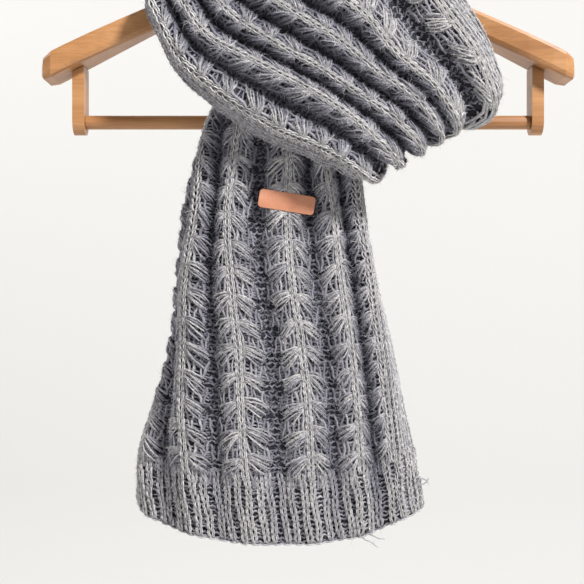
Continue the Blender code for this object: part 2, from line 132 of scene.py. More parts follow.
RETURN = [
    station((62, -47, -186), (-0.90, 0, -0.40), (7, 15, 12, 12, 12, 12, 6), 0, 0, 0, 8, 0, 6),
    station((58, -46.5, -140), (-0.98, 0, 0.10), 12.5, 0, 0, 0, 8),
    station((60, -42, -100), (-0.94, 0, 0.33), 13.5, 0, 0, 0, 9),
    station((62, -28, -74), RETURN_SLOPE, 14.5, 0, 0, 0, 10),
    station((62, 0, -62), RETURN_SLOPE, 15, 0, 0, 0, 10),
    station((62, 31, -68), (-0.91, -0.10, 0.40), 15, 0, 0, 0, 10),
    station((55, 54, -92), (-0.93, -0.12, 0.34), 15, 0, 0, 0, 10),
]
TAIL_BACK = [
    station((36, 62, -134), (-0.96, -0.08, 0.26), 15.5, 0, 0, 0, 10),
    station((10, 62, -182), (-0.98, 0, 0.18), 17, 0, 0, 0, 10),
    station((-12, 58, -236), (-0.99, 0, 0.10), 18, 8, 0, 0, 10),
    station((-24, 55, -300), (-1, 0, 0), 20, 12, 0, 0, 9),
    station((-27, 54, -380), (-1, 0, 0), 23, 16, 0, 0, 9),
    station((-27, 54, -452), (-1, 0, 0), 26, 18, 0, 0, 8, 6),
    station((-27, 54, -505), (-1, 0, 0), 28, 18, 0, 0, 4, 10),
]

# name, its rows, the side that carries the ribs, and what the stretch hangs from or lies on
Stretch = namedtuple("Stretch", "name rows face rests_on")
STRETCHES = [
    Stretch("tail_front", TAIL_FRONT, 1, "over_right_arm"),
    Stretch("over_right_arm", OVER_RIGHT_ARM, 1, "hanger_arms"),
    Stretch("neck_back", NECK_BACK, 1, "over_left_arm"),
    Stretch("over_left_arm", OVER_LEFT_ARM, 1, "hanger_arms"),
    Stretch("front_wrap", FRONT_WRAP, 1, "over_left_arm"),
    Stretch("wrap_fold", FOLD, 1, "front_wrap"),
    Stretch("return_over_arm", RETURN, -1, "over_right_arm"),
    Stretch("tail_back", TAIL_BACK, -1, "return_over_arm"),
]

# ---------------------------------------------------------------- the knitting
STITCH = FAN_PITCH / 4
CRESTS = np.arange(RIBS) + 0.5
EDGES = ((0.5, -1), (RIBS - 0.5, 1))  # each outer crest, and the side on which the strip ends
# each crest with each side that carries fans: the strip's own edges are plain
FAN_SIDES = [(crest, side) for crest in CRESTS for side in (-1, 1) if 0 < crest + side < RIBS]
LOFT = 0.38  # how far the fans puff a rib's flanks out, as a share of its relief
PUFF_BEGINS = 12.0  # that puff sets in over this length at the top of the hem
RATE_STEP = 0.25  # in ribs: the step over which a rib's width is read
FOLD_REACH = 60.0  # the yarn lies flatter within this distance of the sharp fold
FOLD_EASE = 0.15  # and how much of its rise is left in the fold

# each kind of strand: its radius, its tone with painted shade (1 in the open, 0 at the bottom
# of a hole), the share of the fans' puff that it follows, and how far it stands over the knitting
Kind = namedtuple("Kind", "yarn tone puff rise")
# these three pairs are for the coarse knitting behind, and the fine knitting in front
CHAIN = (Kind(1.35, 1.0, 0, 1.1), Kind(1.08, 1.0, 0, 1.1))
HEM = (Kind(1.15, 1.0, 0, 0.5), Kind(0.88, 1.0, 0, 0.5))
PLIES = ((0.0,), (-0.6, 0.6))  # where plies lie beside a strand's middle, in its radii
CORE = Kind(1.3, 0.55, 0, -0.6)
PLAIN = Kind(1.15, 0.9, 0.3, -0.9)
SELVEDGE = Kind(1.1, 0.9, 0, -0.3)
UPRIGHT = Kind(1.35, 0.7, 0.75, -0.9)
RUNG = Kind(0.95, 0.62, 0.65, -1.5)
PURL = Kind(1.15, 0.58, 0, -0.9)
VALLEY = Kind(PURL.yarn * 0.85, PURL.tone, 0, -1.2)
# beside the first rib: the place of each bar in one repeat, and its kind
OUTER_BARS = ((0.0, Kind(1.2, 0.78, 0.3, -1.3)), (2.9, Kind(1.1, 0.66, 0.3, -1.7)))
# between two pairs of the hem's columns, and inside a pair; their tones carry painted shade
HEM_BARS = (Kind(1.1, 0.64 * 1.05, 0, -1.3), Kind(1.1, 0.64 * 0.85, 0, -1.0))

LEG_ALONG = np.array([-1.2, 1.0, 3.2, 5.4, 7.0])  # one leg of a stitch, from its foot
LEG_ASIDE = np.array([0.4, 1.3, 2.0, 1.9, 1.0])
LEG_RISE = np.array([-1.2, 0.2, 0.6, 0.2, -1.1])
LEG_YARN = np.array([0.5, 0.7, 0.78, 0.7, 0.5])  # radius of one ply
CORE_STEP = 2.4

FAN_STRANDS = 6
FAN_REACH = (5.0, 0.54, 0.94)  # from a base, with a share of the room, up to a share of it
FAN_START = 2.6  # from the crest to where the strands leave the chain
FAN_ROOT = (2.0, -3.4)  # where the first and last strands leave it, along the rib
FAN_DROP = (4.0, 16.5)  # how far they run back along the rib
FAN_SWAY = (1.8, 38.0)  # how far, and how slowly, a column of fans sways along the rib
FAN_OWN_REACH = (0.86, 1.1)
FAN_OWN_DROP = (0.85, 1.12)
FAN_OWN_PUFF = (-0.15, 0.4)
FAN_POINTS, UNDER_POINTS = (5, 8), 6  # along a strand behind and in front, and along one below
FAN_PLY = 0.6  # radius of one of a strand's two plies
FAN_SINGLE = 0.95  # radius of a strand that isn't split into plies
FAN_TWIST = 0.36  # how far a strand's two plies lie from its middle
FAN_TURNS = (1.0, 2.2)
FAN_ARCH = 1.5  # how far the strands rise between their ends
FAN_UNDER = 1.1  # how far the strands between the upper ones lie below them
FIRST_FLATTER = 0.55  # the fans beside the first rib lie flatter, as that flank is drawn in

LADDER_COLUMNS = (4.8, 8.6, 12.4, 16.2, 20.0)  # upright loops under the fans, from the crest
LADDER_LEAN = 1.2
OPEN_FROM = (3.6, 0.62)  # the gap under a fan begins this far from its root, and more aside
OPEN_TO = (1.0, 0.12)  # and ends this far past the next fan's root
LADDER_RUNGS = (0.08, 0.3, 0.52, 0.74, 0.96)  # bars across them, from the top to the bottom
RUNG_START, RUNG_END = 2.5, 0.86  # millimetres from the crest, and a share of the room
PLAIN_COLUMNS = (4.9, 8.7, 12.5, 16.3, 20.1, 23.9)  # stitches outside the outer crests
SELVEDGE_INSET = 1.4
OUTER_ROW = 5.8  # one repeat of the curved bars beside the first rib
OUTER_START, OUTER_REACH = 1.5, 0.6  # millimetres from the crest, and a share of the room
OUTER_OVERLAP = 0.15  # how much of the room the bars share with the plain columns
PURL_ROW = (FAN_PITCH / 5 * 1.6, FAN_PITCH / 5)  # behind, and in front
PURL_WAVE = 5.6
PURL_STEP = 1.6
PURL_OVERLAP = 5.0  # how far the valleys' rows reach under the fans
VALLEY_COLUMNS = (-2.4, 2.4)
VALLEY_STEP = 1.7

HEM_COLUMNS = 30
HEM_NEARER = 0.06  # how far the two columns of a pair lean together, in columns
HEM_ROW = 3.7
HEM_GAP = 3.4  # half the length of the bars between the columns
HEM_WAVE, HEM_WAVES = 1.6, 7  # how far the edge waves, and how often
CAST_ON_YARN = 0.75
CAST_ON = (2.2, 2.6)  # where the loops of the edge begin, and how far they reach out
WISPS = (  # loose ends of yarn at the hem: up from the edge, share across, way from there
    (1.0, 0.78, ((4, -1, -4), (9, -1, -6), (14, -2, -10))),
    (1.0, 0.80, ((5, -1, -2), (10, -2, -4), (15, -2, -5))),
    (26.0, 0.985, ((4, -1, 3), (8, -2, 2), (10, -2, -1))),
    (23.0, 0.985, ((4, -1, 1), (8, -1, 3), (10, -1, 6))),
)
WISP_POINTS = 14
WISP_YARN = np.linspace(0.7, 0.35, WISP_POINTS)

FAN_TONE = (0.8, 0.84)  # at a strand's start and at its end
# painted shade: the tone of the fan strands that lie below the upper ones
UNDER_SHADE_TONE = 0.42
CAST_ON_TONE = 0.85
WISP_TONE = 0.7
DEEP_RELIEF = 11.0  # the light fails fully between ribs of this height
NARROW_VALLEY = 25.0  # wider valleys are lighter
WIDE_SHARE = 0.4  # and the widest lose only this share of the light
PAINTED_FOLD_LIGHT = 0.35  # painted light: the yarn is lighter where the band turns under

# crease: how far painted shade darkens the yarn between the ribs; edges: painted light added by
# the two edges; then the share of tone left on the chains, the fans and the rest under painted shade,
# and the painted shade on the fans below a rib; nap, halo: how many short hairs and long bent hairs
Showing = namedtuple("Showing", "crease edges dimming lee nap halo")
IN_FRONT = {
    "tail_front": Showing(0.8, (0, 0), (1, 1, 1), 0, 88000, 6500),
    "front_wrap": Showing(0.9, (0.22, 0.08), (1, 0.95, 0.78), 0.1, 52000, 4700),
    "wrap_fold": Showing(0.7, (0.22, 0.08), (1, 1, 0.95), 0.1, 13000, 900),
}
BEHIND = Showing(0.8, (0, 0), (1, 1, 1), 0, 26, 2.0)  # with the hairs for each millimetre
FRAY = (0.5, 0.85, 1.6)  # how far hairs turn from the chains, the fans and what lies under them
NAP_LENGTH = (1.4, 4.6)
NAP_LIGHT = 0.12  # the hairs' tone over their yarn's
HALO_LENGTH = (4.0, 9.5)
HALO_LIGHT = 0.1
HAIR_WIDTH = 0.28
HALO_WIDTH = 0.2


def jitter(amount, shape):
    return dice.uniform(-amount, amount, shape)


def unit(v):
    return v / np.maximum(np.linalg.norm(v, axis=-1, keepdims=True), 1e-9)


def through(places, values, wanted):
    """A smooth curve through values at their places, read at the wanted places."""
    spans = np.diff(places)[:, None]
    slopes = np.diff(values, axis=0) / spans
    tangents = np.empty_like(values)
    tangents[1:-1] = (slopes[:-1] * spans[1:] + slopes[1:] * spans[:-1]) / (spans[:-1] + spans[1:])
    tangents[0], tangents[-1] = slopes[0], slopes[-1]
    k = np.clip(np.searchsorted(places, wanted, side="right") - 1, 0, len(places) - 2)
    span = spans[k]
    u = ((wanted - places[k]) / spans[k, 0])[:, None]
    return (
        (1 + 2 * u) * (1 - u) ** 2 * values[k]
        + u * (1 - u) ** 2 * span * tangents[k]
        + u * u * (3 - 2 * u) * values[k + 1]
        + u * u * (u - 1) * span * tangents[k + 1]
    )


def running(steps):
    """Running totals along each row, from 0."""
    return np.concatenate([np.zeros((len(steps), 1)), np.cumsum(steps, axis=1)], axis=1)


def rib_height(rib):
    return 0.5 - 0.5 * np.cos(2 * math.pi * rib)


class Cloth:
    """The whole strip as a surface, read by place along it, rib across it and height."""

    def __init__(self):
        stations = [row for stretch in STRETCHES for row in stretch.rows]
        rows = np.array([(*s.centre, *s.across, *s.gaps, *s[3:]) for s in stations], float)
        rows[:, 3:6] = unit(rows[:, 3:6])
        legs = np.linalg.norm(np.diff(rows[:, :3], axis=0), axis=1)
        knots = np.concatenate([[0], np.cumsum(legs)])
        self.length = knots[-1]
        self.ends = {}
        first = 0
        for stretch in STRETCHES:
            last = min(first + len(stretch.rows), len(stations) - 1)
            self.ends[stretch.name] = (knots[first], knots[last])
            first += len(stretch.rows)
        self.route = np.arange(0, self.length + 0.5, 1.0)
        self.ribs = np.linspace(0, RIBS, 40 * RIBS + 1)
        self.lay(through(knots, rows, self.route))

    def lay(self, rows):
        """Work out the surface, its outward directions and its width at each rib."""
        centre, across = rows[:, :3], unit(rows[:, 3:6])
        gaps, self.relief = rows[:, 6:13], rows[:, 16]
        arc, curl_in, curl_out = np.radians(rows[:, 13:16]).T[:, :, None]
        sag, droop = rows[:, 17:19].T[:, :, None]
        heading = unit(np.gradient(centre, axis=0))
        out = unit(np.cross(across, heading))
        marks = running(gaps)
        k = np.clip(np.searchsorted(CHAIN_PLACES, self.ribs, side="right") - 1, 0, RIBS)
        share = (self.ribs - CHAIN_PLACES[k]) / np.diff(CHAIN_PLACES)[k]
        self.width = marks[:, k] * (1 - share) + marks[:, k + 1] * share
        whole = marks[:, -1:]
        inner_flank, outer_flank = marks[:, 3:4], gaps[:, 6:7] + gaps[:, 5:6] / 2
        turn = arc * (0.5 - self.width / whole)
        turn = turn + curl_in * np.clip(1 - self.width / inner_flank, 0, 1) ** 1.5
        turn -= curl_out * np.clip((self.width - whole + outer_flank) / outer_flank, 0, 1)
        middle, step = (turn[:, 1:] + turn[:, :-1]) / 2, np.diff(self.width, axis=1)
        side, rise = running(np.cos(middle) * step), running(np.sin(middle) * step)
        half = len(self.ribs) // 2
        side -= side[:, half : half + 1]
        rise -= rise[:, half : half + 1]
        lag = sag * ((self.ribs - RIBS / 2) / (RIBS / 2)) ** 2
        self.points = (
            centre[:, None]
            + side[..., None] * across[:, None]
            + rise[..., None] * out[:, None]
            + lag[..., None] * heading[:, None]
        )
        self.points[..., 2] -= droop * np.clip(1 - self.ribs / DROOP_REACH, 0, 1) ** 1.5
        self.out = np.cos(turn)[..., None] * out[:, None] - np.sin(turn)[..., None] * across[:, None]

    def read(self, grid, place, rib):
        a = np.clip(place, 0, len(self.route) - 1.001)
        b = np.clip(rib / RIBS, 0, 1) * (len(self.ribs) - 1.001)
        i, j = a.astype(int), b.astype(int)
        u, v = (a - i), (b - j)
        if grid.ndim == 3:
            u, v = u[..., None], v[..., None]
        low = grid[i, j] * (1 - v) + grid[i, j + 1] * v
        high = grid[i + 1, j] * (1 - v) + grid[i + 1, j + 1] * v
        return low * (1 - u) + high * u

    def height(self, place, rib, loft):
        """Height of the knitting over the plain side, with a share of the fans' puff."""
        beside = 2 * np.abs(rib % 1 - 0.5)
        puff = LOFT * np.sin(math.pi * np.clip(beside, 0, 1)) ** 0.7
        from_hem = np.minimum(place, self.length - place) - HEM_HEIGHT
        puff = puff * np.clip(from_hem / PUFF_BEGINS + 0.5, 0, 1)
        return WALL + np.interp(place, self.route, self.relief) * (rib_height(rib) + loft * puff)

    def openness(self, place, rib):
        """How freely light falls on a place, from 1 on a crest to 0 in a deep narrow valley."""
        depth = np.clip(np.interp(place, self.route, self.relief) / DEEP_RELIEF, 0, 1)
        near, far = (self.read(self.width, place, rib + step) for step in (-RATE_STEP, RATE_STEP))
        across = np.maximum((far - near) / (2 * RATE_STEP), 1)
        depth = depth * np.clip(NARROW_VALLEY / across, WIDE_SHARE, 1)
        return 1 - depth * (1 - rib_height(np.clip(rib, 0.5, RIBS - 0.5)) ** 0.6)

    def lift(self, place, rib, height, face):
        """Points over the strip, and the directions out of it."""
        out = self.read(self.out, place, rib)
        base = self.read(self.points, place, rib)
        if face < 0:
            base, out = base + out * WALL, -out
        return base + out * height[..., None], out

    def rib_after(self, place, rib, aside):
        """The rib number that lies a number of millimetres beside another."""
        here = self.read(self.width, place, rib)
        ahead = self.read(self.width, place, rib + RATE_STEP * np.sign(aside))
        rate = np.abs(ahead - here) / RATE_STEP
        return rib + aside / np.maximum(rate, 1.0)

    def rib_at(self, place, share):
        """The rib number at a share of the strip's width."""
        rows = np.clip(np.rint(place).astype(int), 0, len(self.route) - 1)
        share = np.broadcast_to(share, rows.shape)
        rib = np.empty(rows.shape)
        for row in np.unique(rows):
            width, here = self.width[row], rows == row
            rib[here] = np.interp(share[here] * width[-1], width, self.ribs)
        return rib

    def ease(self, place):
        """1 in the open, falling where the strip folds back on itself and the yarn is pulled flat."""
        start, end = self.ends["wrap_fold"]
        return np.clip(np.abs(place - (start + end) / 2) / FOLD_REACH, FOLD_EASE, 1)

    def fan_reach(self, room):
        """How far the fans reach from a crest, from the room up to the valley's middle."""
        return np.minimum(FAN_REACH[0] + FAN_REACH[1] * room, FAN_REACH[2] * room)

    def half_gap(self, place, crest, side):
        """Millimetres from a crest to the middle of the valley beside it."""
        there = self.read(self.width, place, crest + 0.5 * side)
        return np.abs(there - self.read(self.width, place, crest))


cloth = Cloth()


# ---------------------------------------------------------------- meshes
def put(name, data):
    """A new object in the scene."""
    thing = bpy.data.objects.new(name, data)
    bpy.context.scene.collection.objects.link(thing)
    return thing


def wool_piece(name, points, faces, looks, tones=None, smooth=True):
    """One piece from an array of points in millimetres and an array of equal-sided faces."""
    mesh = bpy.data.meshes.new(name)
    points = np.asarray(points, float).reshape(-1, 3) * MM
    faces = np.asarray(faces, np.int32)
    count, sides = faces.shape
    mesh.vertices.add(len(points))
    mesh.vertices.foreach_set("co", points.ravel())
    mesh.loops.add(count * sides)
    mesh.loops.foreach_set("vertex_index", faces.ravel())
    mesh.polygons.add(count)
    mesh.polygons.foreach_set("loop_start", np.arange(0, count * sides, sides, dtype=np.int32))
    mesh.update(calc_edges=True)
    if tones is not None:
        mesh.attributes.new("tone", "FLOAT", "POINT").data.foreach_set("value", np.ravel(tones))
    if smooth:
        mesh.shade_smooth()
    for look in looks:
        mesh.materials.append(look)
    piece = put(name, mesh)
    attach(piece, "root")
    return piece


def ringed_mesh(name, rings, closed):
    """A smooth mesh between rings of points in metres, capped at the first or at both ends."""
    mesh = bmesh.new()
    rings = [[mesh.verts.new(point) for point in ring] for ring in rings]
    for near, far in zip(rings, rings[1:]):
        for k in range(len(near)):
            nxt = (k + 1) % len(near)
            mesh.faces.new((near[k], near[nxt], far[nxt], far[k]))
    mesh.faces.new(rings[0])
    if closed:
        mesh.faces.new(rings[-1])
        bmesh.ops.recalc_face_normals(mesh, faces=mesh.faces)
    data = bpy.data.meshes.new(name)
    mesh.to_mesh(data)
    mesh.free()
    data.shade_smooth()
    return data


TAG_TILT = math.radians(-9.0)
TAG_MARGIN = 0.8
TAG_REACH = 8.0  # yarn up to this far in front of the tag is pressed back
TAG_CLEAR = 0.1


def tag_sizes():
    """The tag's corners and middle, and its own width and height, from the box of its solid."""
    low, high = (np.array(corner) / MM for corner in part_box("label"))
    span = high - low
    c, s = math.cos(TAG_TILT), abs(math.sin(TAG_TILT))
    width = (span[0] * c - span[2] * s) / (c * c - s * s)
    height = (span[2] * c - span[0] * s) / (c * c - s * s)
    return low, high, (low + high) / 2, width, height


def turned(x, z, angle):
    c, s = math.cos(angle), math.sin(angle)
    return x * c - z * s, x * s + z * c


def clear_of_tag(points):
    """Yarn in front of the tag is pressed back behind it."""
    low, high, middle, width, height = tag_sizes()
    along, upward = turned(points[:, 0] - middle[0], points[:, 2] - middle[2], -TAG_TILT)
    behind = (np.abs(along) < width / 2 + TAG_MARGIN) & (np.abs(upward) < height / 2 + TAG_MARGIN)
    back = high[1] + TAG_CLEAR
    points[behind & (points[:, 1] < back) & (points[:, 1] > low[1] - TAG_REACH), 1] = back
    return points


class Strands:
    """Many thin tubes on one side of the cloth, gathered and then made into one piece."""

    def __init__(self, stretch, fray, dimming):
        self.face, self.fray, self.dimming = stretch.face, fray, dimming
        self.crease, self.painted_edge_light = IN_FRONT.get(stretch.name, BEHIND)[:2]
        self.points, self.faces, self.tones, self.total = [], [], [], 0
        self.spots = []  # where hairs may stand: a centre, the way out, the step on, a tone, the fray

    def add(self, centres, outs, radius, tone, sides=3):
        """centres and outs: strand by point by three; radius and tone: for all, or for each point."""
        count, length = centres.shape[:2]
        if not count:
            return
        step = np.gradient(centres, axis=1)
        along = unit(step)
        beside = unit(np.cross(along, outs))
        upright = np.cross(beside, along)
        turns = (np.arange(sides) * (2 * math.pi / sides) + math.pi / 2)[:, None]
        ring = np.cos(turns) * beside[..., None, :] + np.sin(turns) * upright[..., None, :]
        ring = ring * np.broadcast_to(radius, (count, length))[..., None, None]
        tube = centres[..., None, :] + ring
        index = np.arange(count * length * sides).reshape(count, length, sides) + self.total
        nxt = np.roll(index, -1, axis=2)
        quads = np.stack([index[:, :-1], nxt[:, :-1], nxt[:, 1:], index[:, 1:]], axis=-1)
        tone = np.clip(np.broadcast_to(tone, (count, length)), 0, 1)
        self.points.append(tube.reshape(-1, 3))
        self.faces.append(quads.reshape(-1, 4))
        self.tones.append(np.repeat(tone.reshape(-1), sides))
        fray = np.full(tone.shape, self.fray)
        spots = np.concatenate([centres, outs, step, tone[..., None], fray[..., None]], axis=-1)
        self.spots.append(spots.reshape(-1, 11))
        self.total += count * length * sides

    def lay(self, place, rib, height, radius, tone, sides=3):
        """The same, for strands given by their places on the cloth."""
        centres, outs = cloth.lift(place, rib, height, self.face)
        # painted shade: the tone is darkened in deep narrow valleys and by the stretch's painted
        # shade; painted light is added where the band turns under and by its two edges
        tone = tone * self.dimming * (1 - self.crease * (1 - cloth.openness(place, rib)))
        edges = self.painted_edge_light[0] * np.clip(2 - rib, 0, 1) + self.painted_edge_light[1] * np.clip(rib - RIBS + 2, 0, 1)
        tone = tone * (1 + PAINTED_FOLD_LIGHT * (1 - cloth.ease(place))) + edges
        self.add(centres, outs, radius, tone, sides)

    def lay_beside(self, place, crest, aside, loft, rise, radius, tone):
        """The same, for strands some millimetres beside a crest and over the knitting."""
        rib = cloth.rib_after(place, crest, aside)
        self.lay(place, rib, cloth.height(place, rib, loft) + rise, radius, tone)

    def lay_uneven(self, kind, place, crest, aside, rise, own_tone):
        """The same, where each strand of a kind has its own tone and thickness."""
        one = (len(place), 1)
        tone = kind.tone + jitter(own_tone, one)
        radius = kind.yarn * (1 + jitter(0.3, one))
        self.lay_beside(place, crest, aside, kind.puff, rise + kind.rise, radius, tone)

    def make(self, name):
        points = clear_of_tag(np.concatenate(self.points))
        faces, tones = np.concatenate(self.faces), np.concatenate(self.tones)
        return wool_piece(name, points, faces, [yarn_look], tones)


# ---------------------------------------------------------------- materials
class Look:
    """A material: its shader, and the nodes that set its colour and relief."""

    def __init__(self, name, inputs):
        self.material = bpy.data.materials.new(name)
        self.material.use_nodes = True
        self.shader = self.material.node_tree.nodes["Principled BSDF"]
        self.fill(self.shader, inputs)

    def fill(self, node, inputs):
        """Each input is linked to another node's output, or set to a value."""
        for name, value in inputs.items():
            if isinstance(value, bpy.types.NodeSocket):
                self.material.node_tree.links.new(value, node.inputs[name])
            else:
                node.inputs[name].default_value = value

    def node(self, kind, output, inputs=None, **settings):
        """The output of a new node."""
        made = self.material.node_tree.nodes.new("ShaderNode" + kind)
        for name, value in settings.items():
            setattr(made, name, value)
        self.fill(made, inputs or {})
        return made.outputs[output]

    def noise(self, scale, detail, roughness=0.6, stretch=None):
        """Noise in the object's own metres, optionally stretched along an axis."""
        where = self.node("TexCoord", "Object")
        if stretch:
            where = self.node("Mapping", "Vector", {"Vector": where, "Scale": stretch})
        inputs = {"Vector": where, "Scale": scale, "Detail": detail, "Roughness": roughness}
        return self.node("TexNoise", "Fac", inputs)

    def ramp(self, source, *stops):
        """A colour for each value of the source, or a grey where a stop is one number."""
        colours = self.node("ValToRGB", "Color", {"Fac": source})
        elements = colours.node.color_ramp.elements
        while len(elements) < len(stops):
            elements.new(0.5)
        for element, (place, colour) in zip(elements, stops):
            element.position = place
            element.color = (*np.broadcast_to(colour, 3), 1)
        return colours

    def multiply(self, first, second, share=1.0):
        inputs = {"Factor": share, "A": first, "B": second}
        return self.node("Mix", "Result", inputs, data_type="RGBA", blend_type="MULTIPLY")

    def colour(self, source):
        self.fill(self.shader, {"Base Color": source})

    def bump(self, source, strength, distance):
        """Relief, over the relief that the shader already has."""
        inputs = {"Strength": strength, "Distance": distance, "Height": source}
        for link in self.shader.inputs["Normal"].links:
            inputs["Normal"] = link.from_socket
        self.fill(self.shader, {"Normal": self.node("Bump", "Normal", inputs)})


# what is left of the yarn's colour as the light fails: shadows are bluish
TONE_STOPS = (
    (0.0, (0.035, 0.036, 0.056)),
    (0.3, (0.21, 0.212, 0.27)),
    (0.6, (0.52, 0.52, 0.59)),
    (1.0, (1.0, 0.99, 0.98)),
)
YARN_TONES = ((0.40, 0.395, 0.41), (0.86, 0.85, 0.86))
# painted shade: the near-black colour of the ground's outer face, seen between the strands
PAINTED_SHADE_TONES = ((0.012, 0.013, 0.019), (0.042, 0.043, 0.058))
HAIR_TONES = ((0.50, 0.495, 0.51), (0.90, 0.89, 0.90))
# the plain side's bumps, darker down to painted shade in the grooves between them
PURL_STOPS = ((0.0, (0.13, 0.131, 0.15)), (0.2, (0.29, 0.29, 0.31)), (0.7, (0.55, 0.545, 0.56)))
BRUSHED = {
    "Roughness": 0.92,
    "Specular IOR Level": 0.25,
    "Sheen Roughness": 0.45,
    "Sheen Tint": (0.95, 0.96, 1.0, 1),
}
WAVE = {"Scale": 0.314, "Distortion": 4.5, "Detail": 2, "Detail Scale": 1.3}  # one wave a unit


def wool(name, dark, light, sheen, relief, by_tone=True):
    """Brushed yarn: patches of tone, each strand a little its own, fine fibres and a soft sheen."""
    look = Look(name, {**BRUSHED, "Sheen Weight": sheen})
    patches = look.ramp(look.noise(420, 8, 0.75), (0.36, dark), (0.64, light))
    own = look.ramp(look.node("NewGeometry", "Random Per Island"), (0, 0.74), (1, 1.1))
    colour = look.multiply(patches, own)
    # painted shade and light: the colour is multiplied by the tone attribute through TONE_STOPS
    if by_tone:
        tone = look.node("Attribute", "Fac", attribute_name="tone")
        colour = look.multiply(colour, look.ramp(tone, *TONE_STOPS))
    look.colour(colour)
    look.bump(look.noise(1900, 3), relief, 0.0006)
    return look.material


def purl_wool(name):
    """The plain side of the knitting: rows of small bumps, laid out a stitch to a unit."""
    look = Look(name, {"Roughness": 0.95, "Sheen Weight": 0.2})
    where = look.node("UVMap", "UV", uv_map="stitches")
    rows, columns = (
        look.node("TexWave", "Fac", {"Vector": where, **WAVE}, bands_direction=way) for way in "YX"
    )
    ripple = look.node("Math", 0, {0: columns, 1: 0.75, 2: 0.25}, operation="MULTIPLY_ADD")
    bumps = look.node("Math", 0, {0: rows, 1: ripple}, operation="MULTIPLY")
    patches = look.noise(500, 6, 0.8)
    shift = look.ramp(patches, (0.35, 0.6), (0.65, 1.15))
    # painted shade in the grooves between the rows of bumps; the patches vary the tone at random
    look.colour(look.multiply(look.ramp(bumps, *PURL_STOPS), shift))
    look.bump(bumps, 0.9, 0.0025)
    look.bump(patches, 0.5, 0.0008)
    return look.material


yarn_look = wool("wool_yarn", *YARN_TONES, 0.15, 0.6)
hair_look = wool("wool_hair", *HAIR_TONES, 0.0, 0.0)
painted_shade_look = wool("wool_ground_painted_shade", *PAINTED_SHADE_TONES, 0.0, 0.9, by_tone=False)
purl_look = purl_wool("wool_plain_side")


# ---------------------------------------------------------------- the knitted ground
GROUND_STEP = 5.6
GROUND_POINTS = 49
GROUND_LOFT = 0.4
GROUND_DEPTH = 1.5  # how far the ground lies under the yarn's surface
GROUND_WALL = 2.4
GROUND_LEAST = (1.4, 0.1)  # the least height of its outer and its inner side
EDGE_RIBS = 0.45  # how much of a rib beside the strip's edge is plain knitting
BACKWARD = (0, 3, 2, 1)  # the corners of a face, the other way round


def between(near, far):
    """Faces between two rows of points."""
    return np.stack([near[:-1], far[:-1], far[1:], near[1:]], -1).reshape(-1, 4)


def ground(stretch):
    """The thin wall under the yarn, which follows the ribs on both sides."""
    start, end = cloth.ends[stretch.name]
    count = round((end - start) / GROUND_STEP) + 1
    rows, columns = np.linspace(start, end, count), np.linspace(0, RIBS, GROUND_POINTS)
    place, rib = np.meshgrid(rows, columns, indexing="ij")
    top = np.maximum(cloth.height(place, rib, GROUND_LOFT) - GROUND_DEPTH, GROUND_LEAST[0])
    bottom = np.maximum(top - GROUND_WALL, GROUND_LEAST[1])
    sides = [cloth.lift(place, rib, height, stretch.face)[0] for height in (top, bottom)]
    index = np.arange(place.size).reshape(place.shape)
    other = index + index.size
    sheet = np.stack([index[:-1, :-1], index[1:, :-1], index[1:, 1:], index[:-1, 1:]], -1)
    sheet = sheet.reshape(-1, 4)
    quads = [sheet, sheet[:, BACKWARD] + index.size]
    quads += [between(index[:, k], other[:, k]) for k in (0, -1)]
    quads += [between(index[k], other[k])[:, BACKWARD] for k in (0, -1)]
    faces = np.concatenate(quads)
    # the outer face is near-black painted shade, which shows through the holes in the yarn; the inner
    # face is the plain side
    piece = wool_piece(stretch.name + "_ground", sides, faces, [painted_shade_look, purl_look])
    plain = np.ones(len(faces), np.int32)
    if stretch.name in IN_FRONT:
        beside = (columns[1:] < EDGE_RIBS) | (columns[:-1] > RIBS - EDGE_RIBS)
        plain[: len(sheet)] = np.tile(beside, count - 1)
    piece.data.polygons.foreach_set("material_index", plain)
    stitches = np.stack([cloth.read(cloth.width, place, rib), place], -1).reshape(-1, 2) / STITCH
    layer = piece.data.uv_layers.new(name="stitches")
    layer.data.foreach_set("uv", np.concatenate([stitches, stitches])[faces.ravel()].ravel())
    mesh = bmesh.new()
    mesh.from_mesh(piece.data)
    bmesh.ops.recalc_face_normals(mesh, faces=mesh.faces)
    mesh.to_mesh(piece.data)
    mesh.free()
    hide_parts(stretch.name)
    return piece


# ---------------------------------------------------------------- stitches and fans
def wavy(turn, shape):
    """A wave that starts anywhere."""
    return np.sin(turn + jitter(3, shape))


def blend(first, last, share):
    return first + (last - first) * share


def repeats(stretch, pitch):
    """Places along the ribs at a fixed pitch from the hem, within one stretch."""
    start, end = cloth.ends[stretch.name]
    every = np.arange(HEM_HEIGHT, cloth.length - HEM_HEIGHT, pitch)
    return every[(every >= start) & (every < end)]


def whole_way(stretch, step):
    """Places for one strand along a whole stretch without its hem."""
    start, end = cloth.ends[stretch.name]
    return np.arange(max(start, HEM_HEIGHT), min(end, cloth.length - HEM_HEIGHT), step)[None, :]


def stitch_legs(strands, feet, crest, aside, kind, plies=PLIES[0]):
    """Both legs of a stitch at each foot, in a column beside a crest."""
    one = (len(feet), 1)
    for leg in (-1, 1):
        place = feet[:, None] + LEG_ALONG + jitter(0.4, one)
        middle = aside + leg * LEG_ASIDE * min(kind.yarn, 1.0) + jitter(0.3, one)
        top = LEG_RISE + kind.rise + jitter(0.3, one)
        radius = LEG_YARN * kind.yarn * (1 + jitter(0.14, one))
        for ply in plies:
            rise = top + jitter(0.1, one)
            # painted shade: each leg's low ends are darker and its top lighter, by LEG_RISE
            tone = kind.tone * (0.9 + 0.1 * LEG_RISE) + jitter(0.08, one)
            across = middle + ply * kind.yarn
            strands.lay_beside(place, crest, across, kind.puff, rise, radius, tone)


